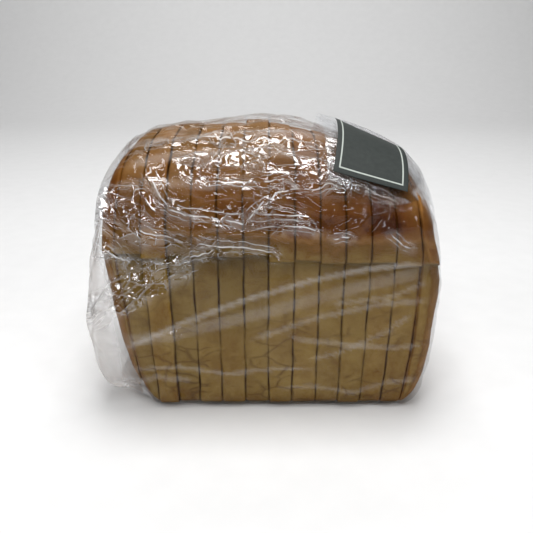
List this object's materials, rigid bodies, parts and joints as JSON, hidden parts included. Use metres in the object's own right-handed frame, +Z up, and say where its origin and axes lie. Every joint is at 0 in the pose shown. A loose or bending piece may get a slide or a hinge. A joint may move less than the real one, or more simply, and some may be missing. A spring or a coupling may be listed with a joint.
{
  "type": "sliced tin loaf",
  "caption": "Sliced tin loaf of white bread standing in a clear film bag, its tail folded over the top and held by a plain label.",
  "frame": {"origin": "on the surface it stands on, under the middle of the bag", "axes": "+X along the loaf towards the closed-up end of the bag with the label, +Y across the loaf, +Z up"},
  "size_m": [0.1761, 0.1202, 0.1448],
  "materials": {
    "crust": "satin",
    "bread": "matte",
    "film": "gloss",
    "label": "satin"
  },
  "bodies": {
    "root": {"heel_left": "crust", "slice_01": "bread", "slice_02": "bread", "slice_03": "bread", "slice_04": "bread", "slice_05": "bread", "slice_06": "bread", "slice_07": "bread", "slice_08": "bread", "slice_09": "bread", "slice_10": "bread", "slice_11": "bread", "slice_12": "bread", "heel_right": "crust", "film_bag": "film", "label": "label"}
  },
  "joints": []
}
